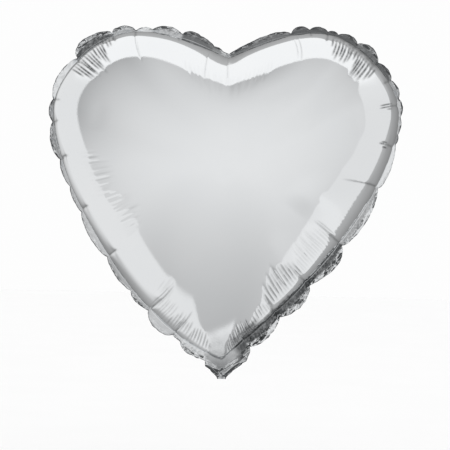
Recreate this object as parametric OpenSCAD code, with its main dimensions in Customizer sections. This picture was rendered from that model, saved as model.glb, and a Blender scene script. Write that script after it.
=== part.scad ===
// Heart-shaped foil balloon, inflated, with its filling tail folded up behind the tip.
// Front is -Y, up is +Z, and the origin is where the fold line of the tail crosses the seam plane.
// Two film panels are welded round a flange. A flat two-film valve runs from the tail's
// mouth, over the fold and up inside the heart. Films are drawn thicker than real ones.

/* [Heart] */
// Size of the uninflated heart pattern, across the flange
pattern_w = 457; // [300:1:700]
// Depth of the inflated heart, front to back
body_depth = 170; // [120:1:190]
// Mean width of the flange outside the weld line
flange_w = 6; // [5:0.5:9]
// Scallops that the flange gathers into, each side
scallops = 9; // [6:1:14]
// How far the flange draws in between scallops
scallop_depth = 3; // [1:0.5:4]

/* [Film] */
// Thickness that stands in for the panel film
panel_t = 0.4; // [0.3:0.05:0.6]
// Thickness that stands in for one valve film
film_t = 0.2; // [0.15:0.05:0.3]
// Thickness that stands in for the release coating
coat_t = 0.1; // [0.05:0.05:0.15]
// Gap left between films that touch
film_gap = 0.02; // [0.01:0.01:0.04]

/* [Tail and valve] */
// Width of the neck at the fold
neck_w = 12; // [11:1:20]
// Width of the tail below its shoulders
tail_w = 26; // [22:1:32]
// Length of the tail from the fold to the mouth
tail_len = 56; // [40:1:60]
// Width of the valve films through the neck and tail
valve_w = 8; // [6:1:9]
// Width of the valve films inside the heart
valve_inner_w = 26; // [20:1:34]
// Height of the valve's upper end above the fold
valve_top = 112; // [80:1:130]
// Radius of the hole for a ribbon
tie_hole_r = 2; // [1.5:0.25:2.5]
// Angle at which the tail leans back from upright
tail_lean = 35; // [33:1:60]

/* [Hidden] */

k = pattern_w / 457;                    // every outline below is drawn for a 457 mm pattern
half_depth = body_depth / 2;
centre = [0, 236] * k;                  // where the rings of the dome shrink to
// Weld line of the right half, as cubic curves end to end: tip, side, top of the lobe, cleft
weld_curves = [
    [3, 22], [60, 64], [195, 205], [195, 300],
    [195, 336], [150, 391], [100, 391],
    [60, 391], [36, 376], [0, 361]
] * k;
curve_steps = [20, 16, 12];             // points along each of the three curves
ring_count = 13;                        // rings between the weld line and the crown
inner_ring = 0.07;                      // scale of the smallest ring
profile_power = 2.6;                    // flat crown and steep rim, as film that cannot stretch
tip_taper = 0.76;                       // how much the dome thins towards the tip
tip_spread = 30;                        // half angle, in degrees, that the thinning covers
mean_radius = 150 * k;                  // the inner rings round off towards this circle
valve_stack = film_t + coat_t / 2 + 1.5 * film_gap;  // half of the valve's thickness, with its gaps
tent_w = 14 * k;                        // the panels part over the valve this far each side
ply_t = panel_t + valve_stack;          // a tail ply, thin where the valve runs
fold_r = ply_t;                         // rolled edge of the tail at the fold
neck_foot = 0.3 + ply_t / tan(tail_lean / 2);  // lower edge of the panels, clear of the folded tail
shoulder_len = 12;                      // the tail widens over this length
corner_r = 4;
tie_hole_x = 9;
tie_hole_along = 40;
foil = [0.8, 0.81, 0.83];
clear_film = [0.86, 0.88, 0.9];
ink = [0.72, 0.76, 0.8];
$fn = 48;

// ---- outlines ----
function bezier(p, t) =
    pow(1 - t, 3) * p[0] + 3 * t * pow(1 - t, 2) * p[1] + 3 * t * t * (1 - t) * p[2] + pow(t, 3) * p[3];
function half_weld() = concat(
    [for (c = [0:2]) let (p = [for (j = [0:3]) weld_curves[3 * c + j]])
        for (i = [0:curve_steps[c] - 1]) bezier(p, i / curve_steps[c])],
    [weld_curves[9]]
);
right = half_weld();
last = len(right) - 1;
function mirrored(points) = [for (i = [last - 1:-1:0]) [-points[i].x, points[i].y]];
weld = concat(right, mirrored(right));
count = len(weld);

function normal_at(i) = let (
        a = right[max(i - 1, 0)],
        b = right[min(i + 1, last)],
        d = (b - a) / norm(b - a)
    ) [d.y, -d.x];
// The flange gathers into scallops, and at the tip it runs down to the fold
function scallop(i) = flange_w + scallop_depth * (abs(sin(180 * scallops * i / last)) - 0.6);
function edge_point(i) =
    i == last ? right[last] + [0, flange_w] :
    right[i] + normal_at(i) * scallop(i);
tip_corner = [neck_w / 2, neck_foot];
tip_points = 4;                         // edge points that run from the fold's corner to the flange
function tip_edge(i) = let (w = i / tip_points) tip_corner * (1 - w) + edge_point(tip_points) * w;
right_edge = [for (i = [0:last]) i < tip_points ? tip_edge(i) : edge_point(i)];
edge = concat(right_edge, mirrored(right_edge));

// ---- the inflated dome ----
function crown(s) = sqrt(max(0, 1 - pow(s, profile_power)));
function thinning(p, s) = let (
        v = p - centre,
        a = acos(-v.y / norm(v))
    ) 1 - tip_taper * s * s * exp(-pow(a / tip_spread, 2));
function ring_point(p, s, inset) = let (
        v = p - centre,
        far = norm(v) - inset
    ) centre + v / norm(v) * s * (far * s * s + mean_radius * (1 - s * s));
function ring_scale(r) = 1 - (1 - inner_ring) * pow(r / ring_count, 2);
function tent(p) = abs(p.x) < tent_w && p.y < 50 * k ? valve_stack : 0;
function dome_ring(r, inset, rise) = let (s = ring_scale(r)) [
    for (p = weld) let (q = ring_point(p, s, inset), h = rise * crown(s) * thinning(p, s))
        [q.x, -(tent(p) + (inset > 0 ? 0 : panel_t) + h), q.y]
];
function flat_ring(points, y) = [for (p = points) [p.x, -(tent(p) + y), p.y]];

// One panel: its flange ply and its dome as one film, closed by the edge of the flange
module panel() {
    outer = concat([flat_ring(edge, panel_t)],
        [for (r = [0:ring_count]) dome_ring(r, 0, half_depth - panel_t)]);
    inner = concat([flat_ring(edge, 0)],
        [for (r = [0:ring_count]) dome_ring(r, panel_t, half_depth - 2 * panel_t)]);
    rings = len(outer);
    points = concat(
        [for (ring = outer) each ring], [for (ring = inner) each ring],
        [[centre.x, -half_depth, centre.y], [centre.x, -half_depth + panel_t, centre.y]]
    );
    top = 2 * rings * count;
    function at(side, r, i) = (side * rings + r) * count + i % count;
    faces = concat(
        [for (r = [0:rings - 2], i = [0:count - 1]) each [
            [at(0, r, i), at(0, r, i + 1), at(0, r + 1, i + 1)],
            [at(0, r, i), at(0, r + 1, i + 1), at(0, r + 1, i)],
            [at(1, r, i), at(1, r + 1, i + 1), at(1, r, i + 1)],
            [at(1, r, i), at(1, r + 1, i), at(1, r + 1, i + 1)]
        ]],
        [for (i = [0:count - 1]) each [
            [at(0, rings - 1, i), at(0, rings - 1, i + 1), top],
            [at(1, rings - 1, i), top + 1, at(1, rings - 1, i + 1)],
            [at(0, 0, i), at(1, 0, i), at(1, 0, i + 1)],
            [at(0, 0, i), at(1, 0, i + 1), at(0, 0, i + 1)]
        ]]
    );
    color(foil) polyhedron(points, [for (f = faces) [f[2], f[1], f[0]]], convexity = 6);
}
module front_panel() panel();
module back_panel() mirror([0, 1, 0]) panel();

// ---- the valve inside the heart ----
valve_foot = neck_foot + 0.3;
// Flat outline in X and Z: narrow through the neck, wide above it
module valve_outline(inset = 0) {
    polygon([
        [-valve_w / 2 + inset, valve_foot], [valve_w / 2 - inset, valve_foot],
        [valve_w / 2 - inset, 34 * k], [valve_inner_w / 2 - inset, 46 * k],
        [valve_inner_w / 2 - inset, valve_top], [-valve_inner_w / 2 + inset, valve_top],
        [-valve_inner_w / 2 + inset, 46 * k], [-valve_w / 2 + inset, 34 * k]
    ]);
}
// A flat outline given a thickness, from y0 towards +Y
module leaf(y0, t) translate([0, y0 + t, 0]) rotate([90, 0, 0]) linear_extrude(t) children();
film_y = coat_t / 2 + film_gap / 2;
module valve_front_film() color(clear_film) leaf(-film_y - film_t, film_t) valve_outline();
module valve_back_film() color(clear_film) leaf(film_y, film_t) valve_outline();
coat_top = 60;
coat_margin = 1.5;
module coating_outline(foot, head) {
    half = valve_w / 2 - coat_margin;
    translate([-half, foot]) square([2 * half, head - foot]);
}
module valve_release_coating()
    color(ink) leaf(-coat_t / 2, coat_t) coating_outline(valve_foot, coat_top * k);

// ---- the tail, drawn upright from the fold and then leaned back ----
module leaned() rotate([-tail_lean, 0, 0]) children();
module tail_outline() {
    hull_w = tail_w / 2 - corner_r;
    polygon(concat(
        [[-neck_w / 2, 0], [neck_w / 2, 0], [tail_w / 2, shoulder_len]],
        [for (a = [0:15:90]) [hull_w + corner_r * cos(a), tail_len - corner_r + corner_r * sin(a)]],
        [for (a = [90:15:180]) [-hull_w + corner_r * cos(a), tail_len - corner_r + corner_r * sin(a)]],
        [[-tail_w / 2, shoulder_len]]
    ));
}
pocket_w = valve_w + 0.4;
// The ply that faces the heart: welded margins each side of a pocket for the valve, and half the rolled edge
module tail_ply() {
    difference() {
        union() {
            leaf(-ply_t, ply_t) tail_outline();
            rotate([0, 90, 0]) cylinder(r = fold_r, h = neck_w, center = true);
        }
        translate([-neck_w, 0, -2 * fold_r]) cube([2 * neck_w, 2 * fold_r, tail_len]);
        translate([-pocket_w / 2, -valve_stack, fold_r]) cube([pocket_w, 2 * valve_stack, tail_len]);
        translate([tie_hole_x, 0, tie_hole_along]) rotate([90, 0, 0])
            cylinder(r = tie_hole_r, h = 4 * ply_t, center = true);
    }
}
// Folded up, the tail is turned over: what goes on from the front panel now lies at the back
module tail_back_ply() color(foil) leaned() tail_ply();
module tail_front_ply() color(foil) leaned() mirror([0, 1, 0]) tail_ply();
film_foot = fold_r + 0.3;
module tail_film_outline() translate([-valve_w / 2, film_foot]) square([valve_w, tail_len - film_foot]);
module tail_valve_back_film()
    color(clear_film) leaned() leaf(-film_y - film_t, film_t) tail_film_outline();
module tail_valve_front_film()
    color(clear_film) leaned() leaf(film_y, film_t) tail_film_outline();
module tail_release_coating()
    color(ink) leaned() leaf(-coat_t / 2, coat_t) coating_outline(film_foot, tail_len - 8);

front_panel();
back_panel();
valve_front_film();
valve_back_film();
valve_release_coating();
tail_front_ply();
tail_back_ply();
tail_valve_front_film();
tail_valve_back_film();
tail_release_coating();
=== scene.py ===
import math

import bmesh
import bpy
import numpy as np
from mathutils import Matrix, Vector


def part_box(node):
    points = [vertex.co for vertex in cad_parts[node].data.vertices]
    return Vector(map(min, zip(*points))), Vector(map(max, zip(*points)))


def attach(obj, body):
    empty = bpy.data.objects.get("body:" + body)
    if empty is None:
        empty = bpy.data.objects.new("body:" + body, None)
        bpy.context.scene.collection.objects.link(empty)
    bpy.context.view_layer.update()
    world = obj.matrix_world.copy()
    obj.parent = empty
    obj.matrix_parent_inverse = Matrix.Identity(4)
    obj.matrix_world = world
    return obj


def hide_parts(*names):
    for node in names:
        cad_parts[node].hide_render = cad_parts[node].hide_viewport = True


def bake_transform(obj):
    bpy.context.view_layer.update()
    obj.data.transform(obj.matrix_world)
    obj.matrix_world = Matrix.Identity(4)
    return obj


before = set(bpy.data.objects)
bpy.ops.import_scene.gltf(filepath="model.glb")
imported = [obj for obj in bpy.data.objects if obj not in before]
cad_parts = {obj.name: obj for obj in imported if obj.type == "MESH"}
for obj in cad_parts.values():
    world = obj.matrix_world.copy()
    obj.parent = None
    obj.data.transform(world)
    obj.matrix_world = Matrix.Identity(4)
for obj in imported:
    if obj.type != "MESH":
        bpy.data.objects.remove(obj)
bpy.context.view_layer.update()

MM = 0.001
panel_low, panel_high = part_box("front_panel")
HALF_DEPTH = -panel_low.y / MM
DRAWN_WIDTH = 402.6         # the lists below are drawn for a heart this wide
SCALE = (panel_high.x - panel_low.x) / MM / DRAWN_WIDTH

# ======== shape of the heart, seen from the front, in mm ========

# Weld line of each side as three cubic curves: tip, side, top of the lobe, cleft
RIGHT_SIDE = [
    (0, 22), (53, 65), (193, 195), (193, 303), (193, 336),
    (148, 392), (98, 392), (70, 392), (33, 378), (0, 361),
]
LEFT_SIDE = [
    (0, 22), (93, 45), (197, 218), (197, 299), (197, 333),
    (153, 389), (102, 389), (60, 389), (40, 378), (0, 361),
]
TIP_Z = RIGHT_SIDE[0][1] * SCALE
CENTRE = np.array([0, 236]) * SCALE     # the grid's rings close in on this point
CORNER_ROUND = 2.2          # the tip and the cleft are rounded this much
SECTORS = 1920              # points round the weld line
RINGS = 64                  # rings from the weld line to the core
REACH = 55 * SCALE          # the grid lines leave the weld line square, this far
RING_CROWDING = 1.9         # rings crowd towards the weld line, where the film is steep
CORE = 0.1                  # size of the innermost ring of the grid, as a share of the weld line's
TIP_TAPER = 130 * SCALE     # the dome thins towards the tip over this length
RIM_RINGS = 7               # rings too near the weld line for the distance to be measured
RELIEF_ROOM = 0.8           # the dome stays this far inside the CAD's depth, to leave room for the relief

# The valley that runs down from the cleft between the lobes
VALLEY_DEPTH = 5.0
VALLEY_WIDTH = 9.0
VALLEY_FLOOR = 2.0          # its floor is rounded over this width
VALLEY_START = 30           # below the top of the heart
VALLEY_FADE = (10, 60)      # it fades out between these distances below its start
VALLEY_SHORE = 12           # it reaches its full depth this far in from the weld line

# Every stride-th point is kept on each ring, and on the rings that close the core
RING_STRIDES = [1] * 30 + [2] * 14 + [4] * 10 + [8] * 11
CORE_STRIDES = [16, 32, 64, 128]

# Gathers in the weld, in mm along it from the tip: side, place, depth, reach inwards, slant
PINCHES = [
    ("R", 33, 1.2, 20, 0.0), ("R", 80, 1.4, 26, 0.0), ("R", 128, 1.4, 28, 0.0), ("R", 186, 1.0, 24, 0.0),
    ("R", 262, 1.0, 18, -0.2), ("R", 310, 1.0, 14, 0.0), ("R", 358, 1.2, 16, 0.0), ("R", 388, 0.8, 12, 0.0),
    ("R", 412, 1.0, 16, 0.0), ("R", 443, 1.2, 22, 0.0), ("R", 478, 1.2, 14, 0.0), ("R", 498, 0.5, 8, 0.0),
    ("L", 16, 1.0, 14, 0.0), ("L", 62, 1.2, 24, -0.2), ("L", 100, 1.6, 26, -0.14), ("L", 176, 1.4, 16, 0.0),
    ("L", 236, 1.0, 12, 0.0), ("L", 298, 1.4, 12, 0.0), ("L", 340, 0.9, 10, 0.0), ("L", 366, 0.9, 12, 0.0),
    ("L", 418, 1.2, 20, 0.0), ("L", 468, 1.2, 12, 0.0), ("L", 494, 0.8, 10, 0.0), ("L", 545, 0.8, 6, 0.0),
]

# Each is a narrow fold within a wide one: share of the depth, half width, share of the reach, darkness of
# the painted shade in its floor
GATHER_FOLDS = [(0.5, 1.2, 1.0, 0.4), (0.6, 7, 0.8, 0.0)]

# Long thin creases: side, place, depth, half width, inset start, inset end, slant, darkness of the painted
# shade in them
CREASES = [
    ("R", 186, 0.45, 0.8, 0, 42, 0.05, 0.45), ("R", 189, 0.30, 0.6, 8, 40, 0.05, 0.3),
    ("R", 262, 0.50, 0.7, 0, 42, -0.2, 0.6), ("R", 516, 0.35, 0.6, 2, 40, -0.3, 0.35),
    ("R", 521, 0.30, 0.5, 4, 34, -0.3, 0.3), ("L", 100, 0.55, 0.7, 0, 42, -0.14, 0.6),
    ("L", 104, 0.35, 0.6, 4, 40, -0.14, 0.4), ("L", 62, 0.45, 0.7, 0, 34, -0.2, 0.6),
    ("L", 66, 0.30, 0.5, 2, 28, -0.2, 0.4), ("L", 494, 0.45, 0.6, 0, 44, -0.07, 0.3),
    ("L", 498, 0.30, 0.5, 14, 42, -0.15, 0.2), ("L", 545, 0.30, 0.5, 0, 8, 0.0, 0.3),
    ("L", 583, 0.28, 0.5, 2, 46, -0.15, 0.25), ("R", 595, 0.25, 0.6, 0, 44, 0.0, 0.2),
]

# Stretches that swell between two gathers: side, from, to, inset of the crest, inset where it ends, height
SWELLS = [
    ("R", 268, 352, 14, 50, 0.5), ("R", 352, 415, 12, 40, 0.5), ("R", 478, 519, 12, 30, 0.5),
    ("R", 522, 592, 12, 40, 0.5), ("L", 62, 100, 14, 44, 0.6), ("L", 100, 176, 14, 52, 0.4),
    ("L", 298, 412, 12, 34, 0.5), ("L", 496, 580, 12, 40, 0.5),
]

# Softer pillows whose crest lies further in, the same way; the film sinks where the height is negative
PILLOWS = [
    ("R", 180, 266, 54, 90, 2.8), ("R", 118, 192, 46, 80, -0.7),
]

# Rows of fine pleats: side, from, to, spacing, depth, inset where they start, inset where they end,
# slant, darkness of the painted shade in their floors
PLEATS = [
    ("L", 406, 440, 4.1, 0.90, 0, 44, 0.0, 1.0), ("L", 440, 454, 4.1, 0.80, 0, 34, -0.1, 1.0),
    ("L", 454, 467, 4.4, 0.50, 0, 18, -0.1, 0.9), ("R", 440, 473, 4.4, 0.85, 3, 34, -0.22, 1.0),
    ("R", 410, 440, 4.4, 0.95, 4, 42, -0.26, 1.0), ("R", 354, 363, 3.6, 0.50, 9, 28, 0.0, 0.9),
    ("R", 306, 313, 3.6, 0.45, 9, 25, 0.0, 0.85), ("R", 192, 258, 2.9, 0.10, 7, 24, 0.0, 0.0),
    ("R", 132, 186, 3.6, 0.50, 6, 46, 0.0, 0.12), ("R", 82, 132, 4.5, 0.95, 6, 48, 0.0, 0.4),
    ("R", 12, 52, 2.7, 0.70, 0, 24, 0.0, 1.0), ("R", 52, 82, 4.5, 0.40, 3, 24, 0.0, 0.3),
    ("L", 18, 46, 3.8, 0.60, 2, 26, 0.0, 0.6), ("L", 46, 76, 4.4, 0.45, 2, 30, -0.1, 0.4),
    ("L", 76, 104, 3.6, 0.20, 2, 36, -0.1, 0.2), ("L", 92, 108, 3.2, 0.20, 22, 52, 0.0, 0.1),
    ("L", 180, 240, 3.6, 0.36, 30, 66, 0.0, 0.04), ("L", 240, 300, 3.4, 0.36, 23, 58, 0.0, 0.04),
    ("L", 556, 600, 3.8, 0.20, 26, 58, 0.0, 0.05), ("R", 546, 596, 3.8, 0.20, 26, 58, 0.0, 0.05),
]

# Soft dents across the film: x, z, half length, half width, angle from level in degrees, depth
DENTS = [
    (120, 318, 34, 5, 38, 0.3), (104, 300, 26, 4, 50, 0.25), (140, 296, 22, 6, 100, 0.3),
    (128, 338, 30, 6, 20, 0.25), (118, 208, 40, 9, 55, 0.5), (104, 175, 20, 7, 40, 0.4),
    (-140, 290, 14, 8, 80, 0.35), (62, 322, 26, 8, 25, 0.3), (30, 268, 30, 14, 80, 0.2),
]

# Patches of painted shade inside the weld line: side, from, to, inset, darkness
PAINTED_SHADE_PATCHES = [
    ("R", 568, 600, 9, 0.15), ("L", 574, 600, 9, 0.15), ("R", 12, 58, 15, 0.8),
    ("R", 30, 122, 5, 0.8), ("R", 112, 178, 3, 0.5), ("R", 408, 470, 8, 0.7), ("R", 455, 515, 3, 0.3),
]

# Painted shade on the film at the tip, darker towards the bottom: height, darkness
TIP_TONE = [(3, 0.92), (13, 0.78), (24, 0.50), (34, 0.26), (50, 0.12), (60, 0)]
TIP_REACH = (12, 24)        # it gives way to the lists above between these distances along the weld
TIP_INSET = (20, 34)        # and between these insets

# Least width of the flange outside the weld line: side, place, width
FLANGE_FOOT = [
    ("R", 0, 21), ("R", 12, 18), ("R", 24, 12), ("R", 33, 8), ("R", 80, 6), ("R", 128, 5),
    ("R", 186, 2.5), ("R", 262, 1), ("R", 315, 1.2), ("R", 388, 2.5), ("R", 443, 2.5), ("R", 478, 2),
    ("R", 498, 3), ("R", 519, 1), ("R", 592, 4), ("L", 583, 5), ("L", 545, 5), ("L", 494, 1),
    ("L", 468, 4), ("L", 420, 1.5), ("L", 341, 1.2), ("L", 298, 1), ("L", 236, 1.5), ("L", 176, 1.2),
    ("L", 100, 1.8), ("L", 62, 2.5), ("L", 16, 8.5), ("L", 10, 14),
]

# Lobes of the flange between gathers: side, from, to, width, share of the way where it is widest,
# darkness of the painted shade inside, the same outside, crumple
FLANGE_LOBES = [
    ("R", 0, 33, 19, 0.4, 0.95, 0.9, 0.9), ("R", 33, 80, 15, 0.40, 0.93, 0.30, 1.9),
    ("R", 80, 128, 15, 0.50, 0.93, 0.7, 1.5), ("R", 128, 186, 14, 0.60, 0.93, 0.5, 1.9),
    ("R", 186, 262, 10, 0.40, 0.5, 0.1, 1.4), ("R", 262, 315, 5.5, 0.35, 0.0, 0.0, 0.6),
    ("R", 315, 326, 3, 0.50, 0.7, 0.7, 0.4), ("R", 326, 346, 3.5, 0.50, 0.4, 0.6, 0.8),
    ("R", 346, 366, 5, 0.60, 0.35, 0.6, 1.0), ("R", 366, 388, 6, 0.50, 0.6, 0.75, 0.9),
    ("R", 388, 412, 7, 0.50, 0.92, 0.92, 0.3), ("R", 412, 443, 10.5, 0.55, 0.85, 0.95, 0.7),
    ("R", 443, 466, 7.5, 0.45, 0.93, 0.95, 0.3), ("R", 466, 478, 5, 0.50, 0.93, 0.95, 0.2),
    ("R", 478, 498, 7, 0.50, 0.93, 0.95, 0.2), ("R", 498, 519, 8.5, 0.50, 0.93, 0.95, 0.2),
    ("R", 519, 592, 7.5, 0.35, 0.85, 0.9, 0.6),
    ("L", 0, 16, 14, 0.8, 0.6, 0.85, 1.0), ("L", 16, 50, 10, 0.60, 0.15, 0.6, 1.8),
    ("L", 50, 62, 4, 0.50, 0.2, 0.6, 1.2), ("L", 62, 100, 10.5, 0.45, 0.3, 0.35, 0.3),
    ("L", 100, 130, 6, 0.60, 0.4, 0.7, 1.4), ("L", 130, 176, 6, 0.45, 0.5, 0.5, 0.5),
    ("L", 176, 234, 7, 0.50, 0.3, 0.45, 0.6), ("L", 234, 266, 4, 0.50, 0.4, 0.55, 0.5),
    ("L", 266, 298, 4.5, 0.50, 0.4, 0.55, 0.5), ("L", 298, 340, 7, 0.45, 0.6, 0.8, 1.2),
    ("L", 342, 366, 4.5, 0.50, 0.6, 0.8, 1.2), ("L", 367, 419, 7, 0.50, 0.0, 0.0, 1.0),
    ("L", 420, 467, 13, 0.40, 0.90, 0.88, 1.4), ("L", 468, 493, 8, 0.40, 0.45, 0.9, 1.3),
    ("L", 494, 512, 5, 0.60, 0.0, 0.1, 1.2), ("L", 512, 544, 9, 0.55, 0.4, 0.5, 1.4),
    ("L", 546, 583, 11, 0.35, 0.86, 0.86, 0.4), ("L", 583, 594, 6, 0.50, 0.7, 0.8, 0.5),
]

# Folds across the flange: height, wavelength, seed, lean along the weld
FLANGE_FOLDS = [(1.1, 11, 21, 1.0), (0.9, 6, 22, -1.4), (0.6, 3.2, 23, 1.8)]
FOLD_HEIGHT = 1.6           # for a crumple of 1
FOLD_LEAN = 0.5
FLANGE_ROWS = 9
FILM_GAP = 0.12             # half the gap between the panels
NECK_GAP = 0.45             # the same in front of the neck, where the tail's outer ply comes round the fold
NECK_HALF_WIDTH = 5
NECK_FOOT = 1.2             # height of the neck's end, above the fold line of the tail
NECK_CORNER = 2.2           # the corners of its end are this much higher
NECK_REACH = (8, 13)        # the neck ends between these distances along the weld
NECK_SHARE = 0.52           # mm across the neck's end for each mm along the weld

# Written on each point for the foil's material: how much painted shade and reflection darken it and dull
# it, how crumpled it is, and where it lies on the film in mm, along it, across it and in from its cut edge
LOOKS = ("dull_and_painted_shade", "crumple", "film_along", "film_across", "film_edge")
FILM_CRUMPLE = 0.3          # crumple of the tail, and of the film inside the weld line where it carries painted shade
CLEAR_OF_EDGE = 9           # given as the weld line's distance from the cut edge, clear of its painted dark outline


def bezier(p, steps):
    """Points on one cubic curve, without its last."""
    t = np.arange(steps)[:, None] / steps
    a, b, c, d = np.array(p, float)
    return (1 - t) ** 3 * a + 3 * t * (1 - t) ** 2 * b + 3 * t * t * (1 - t) * c + t ** 3 * d


def side_curve(points, steps=400):
    curves = [bezier(points[3 * i:3 * i + 4], steps) for i in range(3)]
    return np.vstack(curves + [np.array(points[9:], float)])


def smooth_loop(values, sigma):
    """Rounds values that run round a closed loop; sigma is in samples."""
    f = np.fft.fftfreq(len(values))
    if values.ndim == 2:
        f = f[:, None]
    return np.fft.ifft(np.fft.fft(values, axis=0) * np.exp(-2 * (np.pi * f * sigma) ** 2), axis=0).real


def resample(loop, count):
    """Evenly spaced points round a closed loop, and its length."""
    closed = np.vstack([loop, loop[:1]])
    s = np.r_[0, np.cumsum(np.hypot(*np.diff(closed, axis=0).T))]
    at = np.arange(count) * s[-1] / count
    return np.column_stack([np.interp(at, s, closed[:, i]) for i in (0, 1)]), s[-1]


right_half = side_curve(RIGHT_SIDE) * SCALE
left_half = side_curve(LEFT_SIDE) * SCALE * [-1, 1]
weld, PERIMETER = resample(np.vstack([right_half[:-1], left_half[:0:-1]]), SECTORS)
SAMPLES_PER_MM = SECTORS / PERIMETER
weld = smooth_loop(weld, CORNER_ROUND * SAMPLES_PER_MM)
tangent = np.roll(weld, -1, 0) - np.roll(weld, 1, 0)
tangent /= np.hypot(*tangent.T)[:, None]
outward = np.column_stack([tangent[:, 1], -tangent[:, 0]])
along = np.arange(SECTORS) / SAMPLES_PER_MM


def place(side, s):
    """A distance from the tip up one side, as a distance round the loop."""
    return s * SCALE if side == "R" else PERIMETER - s * SCALE


def loop_offset(centre):
    """Signed distance round the loop from a place on it, for every sector."""
    return (along - centre + PERIMETER / 2) % PERIMETER - PERIMETER / 2


def smoothstep(low, high, x):
    t = np.clip((x - low) / (high - low), 0, 1)
    return t * t * (3 - 2 * t)


def loop_noise(wavelength, seed):
    """Smooth noise round the loop, from -1 to 1, with waves of about the given length in mm."""
    v = smooth_loop(np.random.default_rng(seed).standard_normal(SECTORS), wavelength * SAMPLES_PER_MM / 4)
    return v / np.abs(v).max()


# ======== grid of the dome: rings from the weld line inwards, of one point (x, z) for each sector ========

axis_room = 1.2 * abs(weld[:, 0]) + 3          # near the middle line the grid lines turn sooner
reach = REACH * axis_room / (axis_room ** 3 + REACH ** 3) ** (1 / 3)
core = CENTRE + (weld - CENTRE) * CORE
elbow = weld - outward * reach[:, None]
step = ((np.arange(RINGS + 1) / RINGS) ** RING_CROWDING)[:, None, None]
grid = (1 - step) ** 2 * weld + 2 * step * (1 - step) * elbow + step ** 2 * core
inset = np.hypot(*(grid - weld).transpose(2, 0, 1))     # mm in from the weld line


def mean_distance(points, polygon, batch=4000):
    """A smooth stand-in for the distance to a polygon: two over the inverse distances summed all round."""
    out = np.empty(len(points))
    for i in range(0, len(points), batch):
        v = polygon[None] - points[i:i + batch, None]
        r = np.hypot(v[..., 0], v[..., 1]) + 1e-9
        w, q = np.roll(v, -1, 1), np.roll(r, -1, 1)
        cross = v[..., 0] * w[..., 1] - v[..., 1] * w[..., 0]
        dot = (v * w).sum(-1)
        out[i:i + batch] = 2 / (cross / (r * q + dot + 1e-12) * (1 / r + 1 / q)).sum(1)
    return out


def film_profile(u, steps=4001, angles=400):
    """Height of an inflated disc of film that cannot stretch, at its own mean distance u, both 0 to 1."""
    s = np.linspace(1, 0, steps)
    angle = (np.arange(angles) + 0.5) / angles * np.pi / 2
    ellipse = np.sqrt(1 - np.outer(s ** 2, np.sin(angle) ** 2)).mean(1) * np.pi / 2
    distance = np.pi * (1 - s ** 2) / (2 * ellipse)
    t = np.sqrt(1 - s ** 2)                            # in this variable the rim's slope is finite
    slope = s / np.sqrt(1 + s ** 2)
    rise = np.r_[0, np.cumsum((slope[1:] + slope[:-1]) / 2 * np.diff(t))]
    return np.interp(u, distance, rise / rise[-1])


def cleft_valley():
    down = (weld[:, 1].max() - VALLEY_START - grid[..., 1]).clip(0)
    fade = 1 - smoothstep(*VALLEY_FADE, down)
    shore = smoothstep(0, VALLEY_SHORE, inset)
    across = np.exp(-np.sqrt(grid[..., 0] ** 2 + VALLEY_FLOOR ** 2) / VALLEY_WIDTH)
    return np.where(grid[..., 1] > CENTRE[1], VALLEY_DEPTH * fade * shore * across, 0)


flat = grid.reshape(-1, 2)
u = mean_distance(flat, weld[::4])             # every fourth point of the weld line is enough
u *= 1 - np.exp(-np.hypot(flat[:, 0], flat[:, 1] - TIP_Z) / TIP_TAPER)
u = u.reshape(RINGS + 1, SECTORS)
u[:RIM_RINGS] = inset[:RIM_RINGS] / inset[RIM_RINGS] * u[RIM_RINGS]
u /= u.max()
height = film_profile(u) * (HALF_DEPTH - RELIEF_ROOM) - cleft_valley()
base = np.stack([grid[..., 0], -height, grid[..., 1]], -1)


def grid_normals(points):
    n = np.cross(np.roll(points, -1, 1) - np.roll(points, 1, 1), np.gradient(points, axis=0))
    return n / (np.linalg.norm(n, axis=-1, keepdims=True) + 1e-12)


normals = grid_normals(base)
normals *= -np.sign(normals[RINGS // 2, SECTORS // 4, 1])      # out of the front
normals[0] = np.column_stack([outward[:, 0], np.zeros(SECTORS), outward[:, 1]])


# ======== relief: a height along the normal, and the painted shade in the floors of its troughs ===

def trough(x, soft=0.3):
    """A V-shaped trough with a rounded floor, 1 deep and about 1 wide each side."""
    return np.exp(-(np.sqrt(x * x + soft * soft) - soft))


def run(start, end, early=0.4, late=0.6):
    """1 between two insets; it fades in over a share of the way, and out again after another."""
    begin = smoothstep(start, start + (end - start) * early, inset) if start > 0 else 1
    return begin * (1 - smoothstep(start + (end - start) * late, end, inset))


def add_trough(relief, dark, centre, depth, width, start, end, slant=0.0, darkness=0.0):
    """One trough that runs inwards from the weld line between two insets, and widens on the way, with
    painted shade in its floor.
    """
    fade = run(start, end)
    x = (loop_offset(centre)[None] - slant * inset) / (width * (1 + 0.02 * inset))
    relief -= depth * fade * trough(x)
    # Painted shade along the trough's floor
    np.maximum(dark, darkness * np.sqrt(fade) * np.exp(-(1.05 * x) ** 2), out=dark)


def lean(side, slant):
    """A slant away from the tip, as a slant round the loop."""
    return slant if side == "R" else -slant


def between(side, first, last, soft):
    """1 on a stretch of the weld line, with soft ends."""
    a, b = sorted((place(side, first), place(side, last)))
    offset = np.abs(loop_offset((a + b) / 2))
    return 1 - smoothstep((b - a) / 2 - soft, (b - a) / 2 + soft, offset)


def tip_tone(z):
    return np.interp(z, *np.array(TIP_TONE, float).T)


def add_gathers(relief, dark):
    for side, s, depth, reach_in, slant in PINCHES:
        centre, slant = place(side, s), lean(side, slant)
        for deep, width, far, darkness in GATHER_FOLDS:
            add_trough(relief, dark, centre, deep * depth, width, 0, far * reach_in, slant, darkness)


def add_creases(relief, dark):
    for side, s, depth, width, start, end, slant, darkness in CREASES:
        add_trough(relief, dark, place(side, s), depth, width, start, end, lean(side, slant), darkness)


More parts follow.
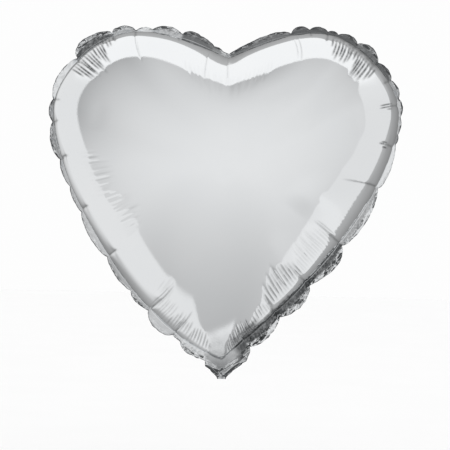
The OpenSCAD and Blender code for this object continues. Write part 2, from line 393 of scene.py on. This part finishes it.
def add_swells(relief, swells, profile):
    """The profile gives the height along the weld, from -1 at one end of the swell to 1 at the other."""
    for side, first, last, crest, end, rise in swells:
        a, b = sorted((place(side, first), place(side, last)))
        across = profile(2 * loop_offset((a + b) / 2) / (b - a))
        relief += rise * across * smoothstep(0, crest, inset) * (1 - smoothstep(crest, end, inset))


def add_dents(relief):
    for x, z, length, width, angle, depth in DENTS:
        c, s = math.cos(math.radians(angle)), math.sin(math.radians(angle))
        dx, dz = grid[..., 0] - x * SCALE, grid[..., 1] - z * SCALE
        p, q = (c * dx + s * dz) / length, (c * dz - s * dx) / width
        relief -= depth * np.exp(-p ** 4 - q ** 2)


def add_painted_shade_patches(dark):
    """Painted shade in patches along the weld line, with a ragged inner edge, and on the tip, darker
    towards its bottom.
    """
    ragged = 1 + 0.3 * loop_noise(7, 31) + 0.2 * loop_noise(3, 32)
    for side, first, last, end, dullness in PAINTED_SHADE_PATCHES:
        patch = between(side, first, last, 10) * (1 - smoothstep(0.5, 1.1, inset / (end * ragged)))
        np.maximum(dark, dullness * patch, out=dark)
    # Painted shade on the tip, darker towards its bottom
    at_tip = (1 - smoothstep(*TIP_REACH, abs(loop_offset(0)))) * (1 - smoothstep(*TIP_INSET, inset))
    dark += (tip_tone(grid[..., 1]) - dark) * at_tip


def broad_relief():
    """The relief that both panels share, because the weld joins them, and the painted shade that goes with
    it.
    """
    relief, dark = np.zeros_like(inset), np.zeros_like(inset)
    add_gathers(relief, dark)
    add_creases(relief, dark)
    add_swells(relief, SWELLS, lambda x: np.clip(1 - x ** 4, 0, 1))
    add_swells(relief, PILLOWS, lambda x: np.clip(1 - x ** 2, 0, 1) ** 2)
    add_dents(relief)
    add_painted_shade_patches(dark)
    return relief, dark


def add_pleats(relief, dark, seed):
    """Rows of pleats, each unlike the next, that grow shallower and shorter towards the ends of the row,
    with painted shade in their floors.
    """
    rng = np.random.default_rng(seed)
    for side, first, last, spacing, depth, start, end, slant, darkness in PLEATS:
        s = first
        while s < last:
            middle = 1 - abs(2 * (s - first) / (last - first) - 1) ** 3
            pleat_depth = depth * rng.uniform(0.6, 1.1) * (0.5 + 0.5 * middle)
            pleat_start = start + rng.uniform(0, 2.5)
            pleat_end = start + (end - start) * rng.uniform(0.75, 1) * (0.6 + 0.4 * middle)
            pleat_slant = lean(side, slant) + rng.uniform(-0.05, 0.05)
            pleat_darkness = darkness * rng.uniform(0.8, 1)
            add_trough(relief, dark, place(side, s), pleat_depth, 0.24 * spacing,
                       pleat_start, pleat_end, pleat_slant, pleat_darkness)
            s += spacing * rng.uniform(0.85, 1.15)


# ======== flange outside the weld line ========

feet = np.array(sorted((place(side, s), width) for side, s, width in FLANGE_FOOT))
lobe_width = np.interp(along, *feet.T, period=PERIMETER)
# Painted shade and reflections on the flange, lobe by lobe: darkness inside and outside
painted_shade_inside = np.full(SECTORS, 0.5)
painted_shade_outside = np.full(SECTORS, 0.5)
lobe_crumple = np.full(SECTORS, 1.0)
for side, first, last, width, widest, near, far, crumple in FLANGE_LOBES:
    a, b = sorted((place(side, first), place(side, last)))
    share = ((along - a) % PERIMETER) / (b - a)
    within = share < 1
    share = share.clip(0, 1) if side == "R" else 1 - share.clip(0, 1)
    skewed = share ** (math.log(0.5) / math.log(widest))       # half way at the widest place
    bulging = lobe_width + (width - lobe_width) * np.sin(np.pi * skewed) ** 0.6
    lobe_width = np.where(within, np.maximum(lobe_width, bulging), lobe_width)
    painted_shade_inside = np.where(within, near, painted_shade_inside)
    painted_shade_outside = np.where(within, far, painted_shade_outside)
    lobe_crumple = np.where(within, crumple, lobe_crumple)
lobe_width = smooth_loop(lobe_width * (1 + 0.10 * loop_noise(6, 1)), 0.45 * SAMPLES_PER_MM) * SCALE
painted_shade_inside = smooth_loop(painted_shade_inside, SAMPLES_PER_MM)
painted_shade_outside = smooth_loop(painted_shade_outside, SAMPLES_PER_MM)
lobe_crumple = smooth_loop(lobe_crumple, 1.5 * SAMPLES_PER_MM)

# At the tip the flange narrows into the neck, whose end is square
from_tip = loop_offset(0)
neck = 1 - smoothstep(*NECK_REACH, np.abs(from_tip))
neck_across = (from_tip * NECK_SHARE).clip(-NECK_HALF_WIDTH, NECK_HALF_WIDTH)
neck_height = NECK_FOOT + NECK_CORNER * abs(neck_across / NECK_HALF_WIDTH) ** 4
flange_edge = weld + outward * lobe_width[:, None]
flange_edge += (np.column_stack([neck_across, neck_height]) - flange_edge) * neck[:, None]


def flange_rows(seam):
    """Rows from the weld line out to the flange's edge, and the looks of each point."""
    rows, looks = [], []
    folds = [(tall * loop_noise(length, seed), drift) for tall, length, seed, drift in FLANGE_FOLDS]
    for row in range(1, FLANGE_ROWS + 1):
        f = row / FLANGE_ROWS
        spot = weld + (flange_edge - weld) * f
        shift = f * lobe_width * FOLD_LEAN
        wave = sum(np.interp(along + drift * shift, along, fold, period=PERIMETER) for fold, drift in folds)
        near_neck = (1 - smoothstep(6, 15, spot[:, 1])) * (1 - smoothstep(8, 14, np.abs(spot[:, 0])))
        wave *= lobe_crumple * np.sin(np.pi / 2 * f) * FOLD_HEIGHT * (1 - near_neck)
        rows.append(np.column_stack([spot[:, 0], seam[:, 1] * (1 - f) + wave, spot[:, 1]]))
        rows[-1] += (seam - np.column_stack([weld[:, 0], seam[:, 1], weld[:, 1]])) * (1 - f)
        # Painted shade and reflections on the flange, flecked where it is crumpled, giving way to the tip's
        # painted shade near the tip
        tone = painted_shade_inside + (painted_shade_outside - painted_shade_inside) * smoothstep(0.5, 0.75, f)
        tone = tone + 0.15 * loop_noise(2.2, 40 + row) * lobe_crumple
        tone = tone + (tip_tone(spot[:, 1]) - tone) * (1 - smoothstep(*TIP_REACH, abs(from_tip)))
        crumple = lobe_crumple * smoothstep(0.3, 0.8, f)
        looks.append(np.column_stack(
            [np.clip(tone, 0, 1), crumple, from_tip, f * lobe_width, (1 - f) * lobe_width]))
    return rows, looks


# ======== meshes ========

def film_mesh(name, rows, looks, strides, flip):
    """One panel: rows of points from the flange's edge inwards, and rings that close the core."""
    verts, vert_looks, faces, rings = [], [], [], []

    def add_ring(points, values):
        rings.append(range(len(verts), len(verts) + len(points)))
        verts.extend(points)
        vert_looks.extend(values)

    for row, values, stride in zip(rows, looks, strides):
        add_ring(row[::stride], values[::stride])
    last = rows[-1]
    hub = last.mean(0)
    for i, stride in enumerate(CORE_STRIDES):
        share = 1 - (i + 1) / (len(CORE_STRIDES) + 1)
        add_ring(hub + (last[::stride] - hub) * share, looks[-1][::stride])
    for a, b in zip(rings, rings[1:]):
        n, m = len(a), len(b)
        for j in range(m):
            k = (j + 1) % m
            if n == m:
                faces.append((a[j], a[k], b[k], b[j]))
            else:
                a0, a1, a2 = a[2 * j], a[2 * j + 1], a[(2 * j + 2) % n]
                faces += [(a0, a1, b[j]), (a1, b[k], b[j]), (a1, a2, b[k])]
    verts.append(hub)
    vert_looks.append(vert_looks[-1])
    inner = rings[-1]
    faces += [(inner[j], inner[(j + 1) % len(inner)], len(verts) - 1) for j in range(len(inner))]
    if flip:
        faces = [f[::-1] for f in faces]
    return make_piece(name, np.array(verts), faces, np.array(vert_looks))


def make_piece(name, verts, faces, looks):
    mesh = bpy.data.meshes.new(name)
    mesh.from_pydata((verts * MM).tolist(), [], faces)
    mesh.validate()
    mesh.shade_smooth()
    for k, look in enumerate(LOOKS):
        attribute = mesh.attributes.new(look, "FLOAT", "POINT")
        attribute.data.foreach_set("value", looks[:, k].astype(np.float32))
    piece = bpy.data.objects.new(name, mesh)
    bpy.context.scene.collection.objects.link(piece)
    return piece


def tip_sleeve(points):
    """How far the flat film at the tip stands off to make room for the valve."""
    low, high = smoothstep(0.5, 5, points[..., 2]), 1 - smoothstep(30, 48, points[..., 2])
    return 0.7 * np.exp(-(points[..., 0] / 6.5) ** 4) * low * high


shared_relief, shared_dark = broad_relief()


def panel(name, pleat_seed, back):
    relief, dark = shared_relief.copy(), shared_dark.copy()
    add_pleats(relief, dark, pleat_seed)
    surface = base + normals * relief[..., None]
    rows, looks = flange_rows(surface[0])
    rows = np.array(rows[::-1] + list(surface))
    along_film = np.broadcast_to(from_tip, inset.shape)
    inner_looks = np.stack([dark, FILM_CRUMPLE * dark, along_film, -inset, CLEAR_OF_EDGE + inset], -1)
    looks = np.array(looks[::-1] + list(inner_looks))
    stand_off = FILM_GAP + tip_sleeve(rows)
    if back:
        rows[FLANGE_ROWS:, :, 1] *= -1
        rows[..., 1] += stand_off
    else:
        neck_foot = 1 - smoothstep(2, 5, rows[:FLANGE_ROWS, :, 2])
        stand_off[:FLANGE_ROWS] += (NECK_GAP - FILM_GAP) * neck[None] * neck_foot
        rows[..., 1] -= stand_off
    return film_mesh(name, rows, looks, [1] * FLANGE_ROWS + RING_STRIDES, back)


# ======== tail: the filling neck goes on down from the tip, folded up behind the heart ========

TAIL_LEAN = math.radians(35)            # from upright, away from the heart
TAIL_LENGTH = 56 * SCALE
TAIL_HALF_WIDTH = 13 * SCALE
TAIL_FLARE = 12 * SCALE                 # the neck widens to the full width over this length
TAIL_CORNER = 4 * SCALE
TAIL_FOOT = NECK_HALF_WIDTH * SCALE     # half its width at the fold
TIE_HOLE = (9 * SCALE, 40 * SCALE, 2 * SCALE)     # across, up from the fold, radius
TUCK = 2.6                              # the tail starts this far up inside the neck
FOLD_RADIUS = 0.48                      # of the outer ply
PLY_GAP = 0.06                          # half the gap between the plies
HOLE_SNAP = 0.36                        # points this near the tie hole's edge are drawn onto it
TAIL_COLUMNS = 52
WAVE_LENGTHS = (19, 11, 7, 4.5)
DIRECTION = np.array([math.sin(TAIL_LEAN), math.cos(TAIL_LEAN)])     # up the tail, as (y, z)
OUTER_SIDE = np.array([math.cos(TAIL_LEAN), -math.sin(TAIL_LEAN)])   # out of its outer face, as (y, z)


def tail_half_width(s):
    """Half the tail's width at a distance up it."""
    width = TAIL_FOOT + (TAIL_HALF_WIDTH - TAIL_FOOT) * smoothstep(0, TAIL_FLARE, s)
    past = (s - (TAIL_LENGTH - TAIL_CORNER)).clip(0, TAIL_CORNER)
    return width - TAIL_CORNER + np.sqrt(TAIL_CORNER ** 2 - past ** 2)


def tail_path(outer):
    """The tail's middle line: points (y, z), each with its distance up the tail and its outward normal."""
    corner_start = TAIL_LENGTH - TAIL_CORNER
    corner = corner_start + TAIL_CORNER * np.sin(np.linspace(0, 0.5, 9) * np.pi)
    climb = np.r_[np.arange(0.6, 6, 0.6), np.arange(6, corner_start, 0.8), corner]
    if outer:
        down = [((-FOLD_RADIUS, z), 0, (-1, 0)) for z in np.linspace(TUCK, 0.2, 7)]
        turn = [((FOLD_RADIUS * math.cos(a), FOLD_RADIUS * math.sin(a)), 0, (math.cos(a), math.sin(a)))
                for a in np.radians(np.linspace(180, 325, 14))]
    else:
        down = [((0.04, z), 0, (-1, 0)) for z in np.linspace(TUCK, 1.0, 6)]
        turn = [((0.05, 0.85), 0.4, (-0.7, -0.7)), ((0.10, 0.80), 0.7, (0, -1)),
                ((0.18, 0.86), 0.9, (0.7, -0.7))]
        climb = climb[climb > 1.0]
    side = 1 if outer else -1
    straight = [(tuple(DIRECTION * s + OUTER_SIDE * side * PLY_GAP), s, tuple(OUTER_SIDE)) for s in climb]
    return down + turn + straight


def tail_waves(q, up):
    """Broad waves that both plies share."""
    rng = np.random.default_rng(5)
    wave = np.zeros_like(q)
    for length in WAVE_LENGTHS:
        turn, phase = rng.uniform(0, 2 * np.pi, 2)
        run_on = q * math.cos(turn) + up * math.sin(turn)
        wave += 0.03 * length * np.sin(2 * np.pi / length * run_on + phase)
    return wave * smoothstep(5, 16, up)


def tail_puckers(q, up, seed):
    rng = np.random.default_rng(seed)
    pucker = np.zeros_like(q)
    for _ in range(5):
        length, phase, turn = rng.uniform(2.5, 5), rng.uniform(0, 6), rng.uniform(-0.4, 0.4)
        pucker += 0.02 * np.sin(2 * np.pi / length * (up + turn * q) + phase)
    return pucker.clip(-0.05, 0.2)


def tail_piece(name, outer, seed):
    path = tail_path(outer)
    middle = np.array([p for p, _, _ in path])
    up = np.array([s for _, s, _ in path])[:, None]
    normal = np.array([n for _, _, n in path])
    across = np.linspace(-1, 1, TAIL_COLUMNS + 1)[None]
    q = across * tail_half_width(up)
    side = 1 if outer else -1
    valve_room = np.exp(-(q / 5.2) ** 4) * 0.36 + 0.10 * (1 - across ** 2)
    straight = smoothstep(0.5, 2.5, up)
    wave = side * tail_waves(q, up)
    lift = (wave + np.sqrt(wave ** 2 + 0.01)) / 2         # each ply waves outwards only, clear of the valve
    out = side * (valve_room * straight + tail_puckers(q, up, seed) * straight + lift)
    verts = np.empty(q.shape + (3,))
    verts[..., 0] = q
    verts[..., 1:] = middle[:, None] + normal[:, None] * out[..., None]
    faces = tie_hole_faces(verts, q, up, outer)
    # Painted shade on the tail: a little all over, more along the sealed sides, at the cut end and in the
    # crease of the fold
    tone = 0.08 + 0.35 * smoothstep(0.80, 0.86, abs(across)) + np.zeros_like(q)    # the sealed sides
    tone += 0.3 * smoothstep(TAIL_LENGTH - 2.5, TAIL_LENGTH - 1.5, up)             # the cut end
    tone += 0.5 * (1 - smoothstep(0.5, 3, up))                                     # painted shade in the crease of the fold
    to_edge = np.minimum(tail_half_width(up) - abs(q), TAIL_LENGTH - up)
    looks = np.stack([tone, np.full_like(tone, FILM_CRUMPLE), up + 0 * q, q, to_edge], -1)
    piece = make_piece(name, verts.reshape(-1, 3), faces, looks.reshape(-1, len(LOOKS)))
    drop_loose_points(piece.data)
    return piece


def drop_loose_points(mesh):
    """Deletes the points that the tie hole leaves without a face."""
    clean = bmesh.new()
    clean.from_mesh(mesh)
    bmesh.ops.delete(clean, geom=[v for v in clean.verts if not v.link_faces], context="VERTS")
    clean.to_mesh(mesh)
    clean.free()


def tie_hole_faces(verts, q, up, outer):
    """The grid's faces without those in the tie hole, whose edge is drawn to a circle."""
    x, y, radius = TIE_HOLE
    dx, dy = q - x, up - y + 0 * q
    gap = np.hypot(dx, dy)
    near = abs(gap - radius) < HOLE_SNAP
    for r, c in zip(*np.nonzero(near)):
        pull = radius / gap[r, c] - 1
        verts[r, c, 0] += dx[r, c] * pull
        verts[r, c, 1:] += DIRECTION * dy[r, c] * pull
    inside = (gap < radius) & ~near
    rows, columns = q.shape
    faces = []
    for r in range(rows - 1):
        for c in range(columns - 1):
            corners = [(r, c), (r, c + 1), (r + 1, c + 1), (r + 1, c)]
            middle = sum(gap[k] for k in corners) / 4
            if any(inside[k] for k in corners) or middle < radius - 0.1:
                continue
            face = tuple(i * columns + j for i, j in corners)
            faces.append(face if outer else face[::-1])
    return faces


# ======== materials ========

FACETS_PER_MM = 0.42        # across the film
FACET_STRETCH = 0.3         # facets per mm along the film, as a share of those across it
FACET_BEND = 3.5


def new_material(name):
    material = bpy.data.materials.new(name)
    material.use_nodes = True
    return material, material.node_tree, material.node_tree.nodes["Principled BSDF"]


def node(tree, kind, **settings):
    """A new node, with settings such as its operation."""
    n = tree.nodes.new(kind)
    for key, value in settings.items():
        setattr(n, key, value)
    return n


def feed(tree, sockets, values):
    """Sets each socket to a number or colour, or links it to another socket."""
    for socket, value in zip(sockets, values):
        if hasattr(value, "is_output"):
            tree.links.new(value, socket)
        else:
            socket.default_value = value


def noise(tree, scale, detail, vector=None):
    """A noise texture, in the object's own coordinates in metres unless others are given."""
    n = node(tree, "ShaderNodeTexNoise")
    if vector is None:
        vector = node(tree, "ShaderNodeTexCoord").outputs["Object"]
    feed(tree, (n.inputs["Vector"], n.inputs["Scale"], n.inputs["Detail"]), (vector, scale, detail))
    return n


def calc(tree, operation, *values):
    n = node(tree, "ShaderNodeMath", operation=operation)
    feed(tree, n.inputs, values)
    return n.outputs[0]


def ramp(tree, value, low, high, out_low=0.0, out_high=1.0, kind="SMOOTHSTEP"):
    n = node(tree, "ShaderNodeMapRange", interpolation_type=kind)
    feed(tree, n.inputs, (value, low, high, out_low, out_high))
    return n.outputs["Result"]


def blend_colour(tree, factor, a, b):
    n = node(tree, "ShaderNodeMix", data_type="RGBA")
    feed(tree, (n.inputs[0], n.inputs[6], n.inputs[7]), (factor, a, b))
    return n.outputs[2]


def bump(tree, shader, height, strength, distance):
    n = node(tree, "ShaderNodeBump")
    sockets = (n.inputs["Height"], n.inputs["Strength"], n.inputs["Distance"])
    feed(tree, sockets, (height, strength, distance))
    tree.links.new(n.outputs["Normal"], shader.inputs["Normal"])


def painted_facet_reflections(tree, along_film, across_film):
    """Painted reflections of crumpled film: each long facet painted darker or brighter, with painted
    highlights along the creases between the facets.
    """
    flat = node(tree, "ShaderNodeCombineXYZ")
    feed(tree, flat.inputs, (calc(tree, "MULTIPLY", along_film, FACET_STRETCH), across_film))
    wander = noise(tree, 0.5, 2, flat.outputs[0])
    bend = node(tree, "ShaderNodeVectorMath", operation="MULTIPLY_ADD")
    feed(tree, bend.inputs, (wander.outputs["Color"], (FACET_BEND, FACET_BEND, 0), flat.outputs[0]))
    cells = node(tree, "ShaderNodeTexVoronoi")
    creases = node(tree, "ShaderNodeTexVoronoi", feature="DISTANCE_TO_EDGE")
    for texture in (cells, creases):
        feed(tree, (texture.inputs["Vector"], texture.inputs["Scale"]), (bend.outputs[0], FACETS_PER_MM))
    split = node(tree, "ShaderNodeSeparateColor")
    tree.links.new(cells.outputs["Color"], split.inputs["Color"])
    facet = ramp(tree, split.outputs["Red"], 0.2, 0.8, -0.25, 0.40)
    return calc(tree, "ADD", facet, ramp(tree, creases.outputs["Distance"], 0.02, 0.07, -0.75, 0.0))


def foil_material():
    """Bright metallised film: slow drift in tone and faint grain, with painted shade and reflections that
    darken it along the weld line, in creases, at the tip and along the cut edge, where it is also rougher,
    and painted facet reflections with painted highlights along their creases where it is crumpled."""
    material, tree, shader = new_material("silver_foil")
    drift = noise(tree, 14, 3).outputs["Fac"]
    clean = blend_colour(tree, drift, (0.885, 0.905, 0.922, 1), (0.934, 0.947, 0.956, 1))
    dull_and_painted_shade, crumple, along_film, across_film, from_edge = (
        node(tree, "ShaderNodeAttribute", attribute_name=look).outputs["Fac"] for look in LOOKS)
    # Painted facet reflections, as strong as the film's crumple
    facets = calc(tree, "MULTIPLY", painted_facet_reflections(tree, along_film, across_film), crumple)
    dull_and_painted_shade = calc(tree, "ADD", dull_and_painted_shade, facets)
    dull_and_painted_shade = calc(tree, "ADD", dull_and_painted_shade, ramp(tree, from_edge, 0.5, 1.0, 0.5, 0.0))     # painted dark outline along the cut edge
    dull_and_painted_shade = ramp(tree, dull_and_painted_shade, 0.0, 1.0, kind="LINEAR")                              # holds it between 0 and 1
    # Painted shade and reflections: the foil's colour is blended towards near black as far as it is dull
    tone = blend_colour(tree, dull_and_painted_shade, clean, (0.085, 0.089, 0.092, 1))
    tree.links.new(tone, shader.inputs["Base Color"])
    shader.inputs["Metallic"].default_value = 1
    grain = noise(tree, 900, 2).outputs["Fac"]
    rough = calc(tree, "MULTIPLY_ADD", dull_and_painted_shade, 0.16, ramp(tree, grain, 0.3, 0.7, 0.02, 0.06))
    tree.links.new(rough, shader.inputs["Roughness"])
    bump(tree, shader, grain, 0.05, 0.0004)
    return material


def film_material():
    """Milky thin film of the valve, faintly clouded."""
    material, tree, shader = new_material("valve_film")
    cloud = noise(tree, 160, 4).outputs["Fac"]
    tone = blend_colour(tree, cloud, (0.80, 0.83, 0.86, 1), (0.93, 0.94, 0.95, 1))
    tree.links.new(tone, shader.inputs["Base Color"])
    tree.links.new(ramp(tree, cloud, 0.3, 0.7, 0.22, 0.38), shader.inputs["Roughness"])
    shader.inputs["Transmission Weight"].default_value = 0.55
    shader.inputs["IOR"].default_value = 1.5
    bump(tree, shader, cloud, 0.15, 0.0002)
    return material


def ink_material():
    """Matt release ink, printed with a slightly uneven coat."""
    material, tree, shader = new_material("release_ink")
    coat = noise(tree, 700, 5).outputs["Fac"]
    tone = blend_colour(tree, coat, (0.30, 0.32, 0.36, 1), (0.42, 0.44, 0.48, 1))
    tree.links.new(tone, shader.inputs["Base Color"])
    tree.links.new(ramp(tree, coat, 0.3, 0.7, 0.55, 0.8), shader.inputs["Roughness"])
    bump(tree, shader, coat, 0.1, 0.0001)
    return material


# ======== assembly ========

# Name here, name in the CAD, seed, whether it is the back panel or the tail's outer ply
PANELS = [("front_foil", "front_panel", 7, False), ("back_foil", "back_panel", 8, True)]
TAIL_PLIES = [
    ("tail_front_foil", "tail_front_ply", 12, True),
    ("tail_back_foil", "tail_back_ply", 11, False),
]

foil = foil_material()
for name, cad_name, seed, is_back in PANELS:
    piece = panel(name, seed, is_back)
    piece.data.materials.append(foil)
    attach(piece, "balloon")
    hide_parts(cad_name)

for name, cad_name, seed, is_outer in TAIL_PLIES:
    piece = tail_piece(name, is_outer, seed)
    piece.data.materials.append(foil)
    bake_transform(piece)
    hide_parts(cad_name)

film, ink = film_material(), ink_material()
for cad_name, cad_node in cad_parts.items():
    if "valve" in cad_name or "coating" in cad_name:
        cad_node.data.materials.clear()
        cad_node.data.materials.append(ink if "coating" in cad_name else film)


# ======== floor and camera ========

FLOOR_RADIUS = 6
FLOOR_DROP = 0.15
FLOOR_CORNERS = 96
LENS = 135
VIEW_WIDTH = 507 * SCALE * MM           # at the heart
AIM_HEIGHT = 173 * SCALE * MM
CAMERA_ROLL = math.radians(1.35)

scene = bpy.context.scene


def floor_material():
    material, tree, shader = new_material("pale_floor")
    drift = noise(tree, 6, 2).outputs["Fac"]
    tone = blend_colour(tree, drift, (0.89, 0.89, 0.89, 1), (0.91, 0.91, 0.91, 1))
    tree.links.new(tone, shader.inputs["Base Color"])
    shader.inputs["Roughness"].default_value = 0.9
    return material


def pale_floor():
    mesh = bpy.data.meshes.new("floor")
    turns = np.arange(FLOOR_CORNERS) / FLOOR_CORNERS * 2 * math.pi
    ring = [(FLOOR_RADIUS * math.cos(a), FLOOR_RADIUS * math.sin(a), -FLOOR_DROP) for a in turns]
    mesh.from_pydata(ring, [], [tuple(range(FLOOR_CORNERS))])
    mesh.materials.append(floor_material())
    floor = bpy.data.objects.new("floor", mesh)
    floor.visible_glossy = False
    scene.collection.objects.link(floor)
    return floor


def front_camera():
    camera = bpy.data.objects.new("camera", bpy.data.cameras.new("camera"))
    camera.data.lens = LENS
    distance = VIEW_WIDTH * LENS / camera.data.sensor_width
    camera.location = (0, -distance, AIM_HEIGHT)
    level = Matrix.Rotation(math.radians(90), 3, "X")
    camera.rotation_euler = (level @ Matrix.Rotation(CAMERA_ROLL, 3, "Z")).to_euler()
    scene.collection.objects.link(camera)
    return camera


floor = pale_floor()
scene.camera = front_camera()
scene.view_settings.view_transform = "Standard"


# ======== the studio, which the foil reflects ========

ROOM_LIGHT = 0.835          # straight in front of the heart
BACKDROP = 0.985            # what the camera sees past the balloon
FLOOR_LIGHT = 1.195         # what lights the floor

world = bpy.data.worlds.new("studio")
scene.world = world
world.use_nodes = True
sky = world.node_tree
sky.nodes.clear()
ray = node(sky, "ShaderNodeTexCoord").outputs["Generated"]


def vector_calc(operation, output, *values):
    n = node(sky, "ShaderNodeVectorMath", operation=operation)
    feed(sky, n.inputs, values)
    return n.outputs[output]


def facing(azimuth, inner, outer, amount):
    """The amount for rays within the inner angle of an azimuth, fading to 0 at the outer angle.

    Azimuths are seen from the front, in degrees: 0 is right and 90 is up.
    """
    a = math.radians(azimuth)
    cosine = vector_calc("DOT_PRODUCT", "Value", sideways, (math.cos(a), 0, math.sin(a)))
    low, high = math.cos(math.radians(outer)), math.cos(math.radians(inner))
    return ramp(sky, cosine, low, high, 0.0, amount)


def varied(value, changes):
    """The value with an amount added at each azimuth: azimuth, inner angle, outer angle, amount."""
    for change in changes:
        value = calc(sky, "ADD", value, facing(*change))
    return value


def mix(factor, a, b):
    """a where the factor is 0, b where it is 1."""
    n = node(sky, "ShaderNodeMix", data_type="FLOAT")
    feed(sky, (n.inputs[0], n.inputs[2], n.inputs[3]), (factor, a, b))
    return n.outputs[0]


def edge(value, threshold, softness):
    """Steps from 0 to 1 as the value passes the threshold."""
    past = calc(sky, "SUBTRACT", value, threshold)
    return ramp(sky, past, calc(sky, "MULTIPLY", softness, -1.0), softness)


sideways = vector_calc("NORMALIZE", "Vector", vector_calc("MULTIPLY", "Vector", ray, (1, 0, 1)))
up = vector_calc("DOT_PRODUCT", "Value", ray, (0, 0, 1))
behind = vector_calc("DOT_PRODUCT", "Value", ray, (0, 1, 0))
ahead = vector_calc("DOT_PRODUCT", "Value", ray, (0, -1, 0))

# In front of the heart: the room, falling away to grey, faster below and at the upper left
fall = varied(0.12, [(145, 25, 58, 0.18), (88, 10, 30, 0.05), (42, 5, 25, 0.06), (263, 15, 50, 0.155)])
room = calc(sky, "SUBTRACT", ROOM_LIGHT, calc(sky, "MULTIPLY", fall, calc(sky, "ARCCOSINE", ahead)))

# All round it: a bright tent, brightest overhead
tent = varied(ramp(sky, up, 0.50, 0.72, 0.815, 0.975), [(-3, 15, 35, -0.03), (-41, 2, 8, 0.04)])

# Where the tent begins
tent_edge = varied(0.285, [
    (-3, 28, 56, 0.24), (239, 22, 33, 0.26), (293, 5, 9, -1.0), (278, 4, 12, 0.085),
    (305, 4, 12, 0.09), (325, 5, 10, 0.10),
])
lit = mix(edge(ahead, tent_edge, 0.015), tent, room)

# Behind: its open end, reaching round on the right and below, with a soft edge on the left
end_edge = varied(0.62, [
    (180, 0, 90, 0.22), (0, 0, 90, -0.22), (90, 0, 90, -0.02), (256, 5, 62, -0.60),
    (-20, 0, 25, -0.10), (279, 5, 14, 0.45),
])
open_end = calc(sky, "MULTIPLY_ADD", behind, -0.38, 0.60)
open_end = calc(sky, "ADD", open_end, ramp(sky, up, 0.2, 0.6, 0.0, 0.12))
softness = varied(0.02, [(225, 25, 50, 0.18), (180, 20, 50, 0.05)])
lit = mix(edge(behind, end_edge, softness), lit, open_end)

path = node(sky, "ShaderNodeLightPath")
seen = mix(path.outputs["Is Camera Ray"], lit, BACKDROP)
seen = mix(path.outputs["Is Diffuse Ray"], seen, FLOOR_LIGHT)
background = node(sky, "ShaderNodeBackground")
sky.links.new(seen, background.inputs["Color"])
output = node(sky, "ShaderNodeOutputWorld")
sky.links.new(background.outputs[0], output.inputs["Surface"])
